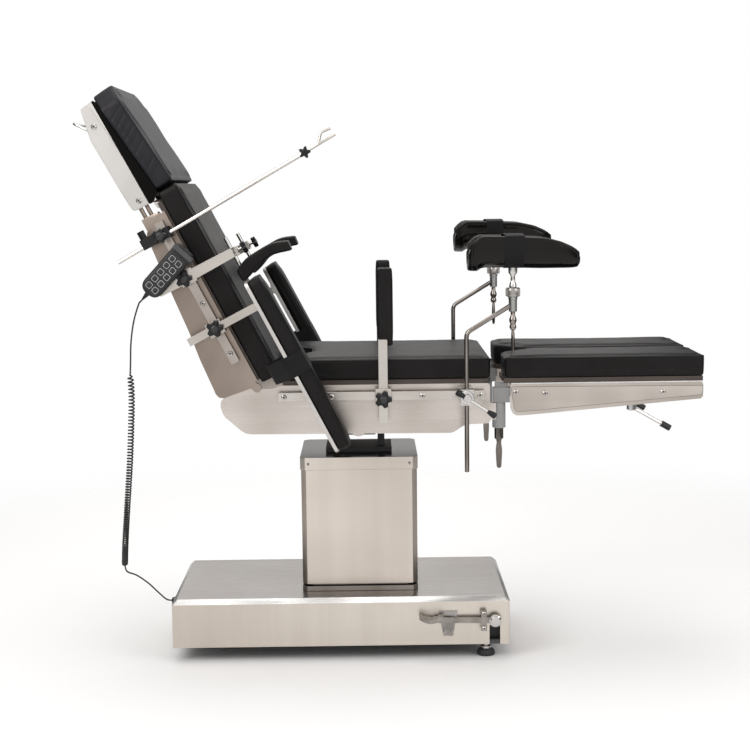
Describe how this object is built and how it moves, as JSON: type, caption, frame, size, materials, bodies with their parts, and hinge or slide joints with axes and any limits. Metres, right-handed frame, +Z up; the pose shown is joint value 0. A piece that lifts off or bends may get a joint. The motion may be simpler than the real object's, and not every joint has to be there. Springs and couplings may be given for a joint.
{
  "type": "operating table",
  "caption": "Electric operating table with a lifting column, two-way tilt, hinged back, head and leg sections, padded leg holders, arm boards, supports and a corded hand control.",
  "frame": {"origin": "centre of the object's plan box on the floor", "axes": "+X toward the patient's feet, +Y away from the side with the hand control, +Z up"},
  "size_m": [1.7437, 0.863, 1.6102],
  "materials": {
    "brushed_steel": "brushed along the sheet, satin",
    "polished_steel": "polished bar",
    "painted_grey": "hammered grey paint",
    "cast_iron": "dark primer",
    "black_leather": "smooth coated upholstery",
    "black_plastic": "fine matt texture",
    "keypad_grey": "matt silicone",
    "cable_black": "satin sheath"
  },
  "bodies": {
    "root": {"base_chassis": "cast_iron", "base_cover": "brushed_steel", "column_skirt": "brushed_steel", "cord_tail": "cable_black"},
    "pedal": {"pedal_lever": "painted_grey"},
    "lift": {"column_cover": "brushed_steel", "lift_ram": "cast_iron"},
    "cradle": {"tilt_cradle": "cast_iron"},
    "seat": {"seat_frame": "brushed_steel", "seat_cushion": "black_leather", "seat_rail_near": "polished_steel", "seat_rail_far": "polished_steel", "holder_clamp_near": "polished_steel", "holder_clamp_far": "polished_steel", "hip_clamp_near": "polished_steel", "hip_clamp_far": "polished_steel"},
    "back": {"back_frame": "brushed_steel", "back_cushion": "black_leather", "back_rail_near": "polished_steel", "back_rail_far": "polished_steel", "arm_bar_near": "polished_steel", "arm_bar_far": "polished_steel", "shoulder_bar_near": "polished_steel", "shoulder_bar_far": "polished_steel", "screen_clamp": "black_plastic", "handset": "black_plastic", "handset_keypad": "keypad_grey", "cord_lead": "cable_black", "cord_coil": "cable_black"},
    "head": {"head_frame": "brushed_steel", "head_cushion": "black_leather"},
    "head_handle": {"head_release_handle": "polished_steel"},
    "screen_rod": {"screen_rod": "polished_steel"},
    "screen_arm": {"screen_arm": "polished_steel"},
    "knuckle_near": {"leg_knuckle_near": "painted_grey"},
    "leg_near": {"leg_frame_near": "brushed_steel", "leg_cushion_near": "black_leather"},
    "leg_lock_near": {"leg_lock_handle_near": "polished_steel"},
    "holder_rod_near": {"holder_rod_near": "polished_steel"},
    "holder_pad_near": {"holder_pad_near": "black_leather"},
    "holder_tbar_near": {"holder_tbar_near": "polished_steel"},
    "hip_support_near": {"hip_support_near": "black_leather"},
    "hip_knob_near": {"hip_knob_near": "black_plastic"},
    "arm_near": {"arm_board_near": "polished_steel", "arm_cushion_near": "black_leather"},
    "arm_knob_near": {"arm_knob_near": "black_plastic"},
    "shoulder_pad_near": {"shoulder_pad_near": "black_leather"},
    "knuckle_far": {"leg_knuckle_far": "painted_grey"},
    "leg_far": {"leg_frame_far": "brushed_steel", "leg_cushion_far": "black_leather"},
    "leg_lock_far": {"leg_lock_handle_far": "polished_steel"},
    "holder_rod_far": {"holder_rod_far": "polished_steel"},
    "holder_pad_far": {"holder_pad_far": "black_leather"},
    "holder_tbar_far": {"holder_tbar_far": "polished_steel"},
    "hip_support_far": {"hip_support_far": "black_leather"},
    "hip_knob_far": {"hip_knob_far": "black_plastic"},
    "arm_far": {"arm_board_far": "polished_steel", "arm_cushion_far": "black_leather"},
    "arm_knob_far": {"arm_knob_far": "black_plastic"},
    "shoulder_pad_far": {"shoulder_pad_far": "black_leather"}
  },
  "joints": [
    {"name": "column_lift", "type": "slide", "parent": "root", "child": "lift", "axis": [0, 0, 1], "range_m": [0, 0.25]},
    {"name": "lateral_tilt", "type": "hinge", "parent": "lift", "child": "cradle", "pos_m": [-0.088, 0, 0.64], "axis": [1, 0, 0], "range_deg": [-15, 15]},
    {"name": "longitudinal_tilt", "type": "hinge", "parent": "cradle", "child": "seat", "pos_m": [-0.088, 0, 0.64], "axis": [0, -1, 0], "range_deg": [-20, 20]},
    {"name": "back_section", "type": "hinge", "parent": "seat", "child": "back", "pos_m": [-0.365, 0, 0.782], "axis": [0, 1, 0], "range_deg": [-62, 12.5], "deforming": ["cord_lead", "cord_coil"]},
    {"name": "head_section", "type": "hinge", "parent": "back", "child": "head", "pos_m": [-0.6754, 0, 1.2991], "axis": [0, 1, 0], "range_deg": [-60, 0]},
    {"name": "head_handle_turn", "type": "hinge", "parent": "head", "child": "head_handle", "pos_m": [-0.7948, 0, 1.478], "axis": [0, 1, 0], "range_deg": [0, 20]},
    {"name": "screen_rod_slide", "type": "slide", "parent": "back", "child": "screen_rod", "axis": [0.8697, 0, 0.4936], "range_m": [-0.1, 0.1]},
    {"name": "screen_arm_swivel", "type": "hinge", "parent": "screen_rod", "child": "screen_arm", "pos_m": [-0.2193, -0.33, 1.4215], "axis": [0, 1, 0], "range_deg": [-90, 90]},
    {"name": "pedal_turn", "type": "hinge", "parent": "root", "child": "pedal", "pos_m": [0.29, -0.2565, 0.116], "axis": [0, 1, 0], "range_deg": [-12, 12]},
    {"name": "leg_spread_near", "type": "hinge", "parent": "seat", "child": "knuckle_near", "pos_m": [0.304, -0.23, 0.731], "axis": [0, 0, 1], "range_deg": [-45, 0]},
    {"name": "leg_fold_near", "type": "hinge", "parent": "knuckle_near", "child": "leg_near", "pos_m": [0.349, -0.234, 0.761], "axis": [0, 1, 0], "range_deg": [-15, 90]},
    {"name": "leg_lock_turn_near", "type": "hinge", "parent": "leg_near", "child": "leg_lock_near", "pos_m": [0.679, -0.2, 0.715], "axis": [0, 0, 1], "continuous": true},
    {"name": "holder_rod_slide_near", "type": "slide", "parent": "seat", "child": "holder_rod_near", "axis": [0, 0, 1], "range_m": [-0.05, 0.1]},
    {"name": "holder_pad_swivel_near", "type": "hinge", "parent": "holder_rod_near", "child": "holder_pad_near", "pos_m": [0.335, -0.32, 1.055], "axis": [0, 0, 1], "range_deg": [-30, 30]},
    {"name": "holder_tbar_turn_near", "type": "hinge", "parent": "seat", "child": "holder_tbar_near", "pos_m": [0.209, -0.335, 0.758], "axis": [0, 1, 0], "continuous": true},
    {"name": "hip_support_slide_near", "type": "slide", "parent": "seat", "child": "hip_support_near", "axis": [0, 0, 1], "range_m": [-0.025, 0.05]},
    {"name": "hip_knob_turn_near", "type": "hinge", "parent": "seat", "child": "hip_knob_near", "pos_m": [-0.0175, -0.3, 0.752], "axis": [0, 1, 0], "continuous": true},
    {"name": "arm_swing_near", "type": "hinge", "parent": "back", "child": "arm_near", "pos_m": [-0.3502, -0.365, 1.0153], "axis": [-0.8866, 0, -0.4626], "range_deg": [0, 110]},
    {"name": "arm_knob_turn_near", "type": "hinge", "parent": "back", "child": "arm_knob_near", "pos_m": [-0.4717, -0.307, 0.9519], "axis": [0, 1, 0], "continuous": true},
    {"name": "shoulder_pad_turn_near", "type": "hinge", "parent": "back", "child": "shoulder_pad_near", "pos_m": [-0.4269, -0.205, 1.1535], "axis": [-0.4626, 0, 0.8866], "range_deg": [-20, 20]},
    {"name": "leg_spread_far", "type": "hinge", "parent": "seat", "child": "knuckle_far", "pos_m": [0.304, 0.23, 0.731], "axis": [0, 0, -1], "range_deg": [-45, 0]},
    {"name": "leg_fold_far", "type": "hinge", "parent": "knuckle_far", "child": "leg_far", "pos_m": [0.349, 0.234, 0.761], "axis": [0, 1, 0], "range_deg": [-15, 90]},
    {"name": "leg_lock_turn_far", "type": "hinge", "parent": "leg_far", "child": "leg_lock_far", "pos_m": [0.679, 0.2, 0.715], "axis": [0, 0, 1], "continuous": true},
    {"name": "holder_rod_slide_far", "type": "slide", "parent": "seat", "child": "holder_rod_far", "axis": [0, 0, 1], "range_m": [-0.05, 0.1]},
    {"name": "holder_pad_swivel_far", "type": "hinge", "parent": "holder_rod_far", "child": "holder_pad_far", "pos_m": [0.335, 0.32, 1.081], "axis": [0, 0, 1], "range_deg": [-30, 30]},
    {"name": "holder_tbar_turn_far", "type": "hinge", "parent": "seat", "child": "holder_tbar_far", "pos_m": [0.209, 0.335, 0.758], "axis": [0, 1, 0], "continuous": true},
    {"name": "hip_support_slide_far", "type": "slide", "parent": "seat", "child": "hip_support_far", "axis": [0, 0, 1], "range_m": [-0.025, 0.05]},
    {"name": "hip_knob_turn_far", "type": "hinge", "parent": "seat", "child": "hip_knob_far", "pos_m": [-0.0175, 0.3, 0.752], "axis": [0, 1, 0], "continuous": true},
    {"name": "arm_swing_far", "type": "hinge", "parent": "back", "child": "arm_far", "pos_m": [-0.3502, 0.365, 1.0153], "axis": [0.8866, 0, 0.4626], "range_deg": [0, 110]},
    {"name": "arm_knob_turn_far", "type": "hinge", "parent": "back", "child": "arm_knob_far", "pos_m": [-0.4717, 0.307, 0.9519], "axis": [0, 1, 0], "continuous": true},
    {"name": "shoulder_pad_turn_far", "type": "hinge", "parent": "back", "child": "shoulder_pad_far", "pos_m": [-0.4269, 0.205, 1.1535], "axis": [-0.4626, 0, 0.8866], "range_deg": [-20, 20]}
  ]
}
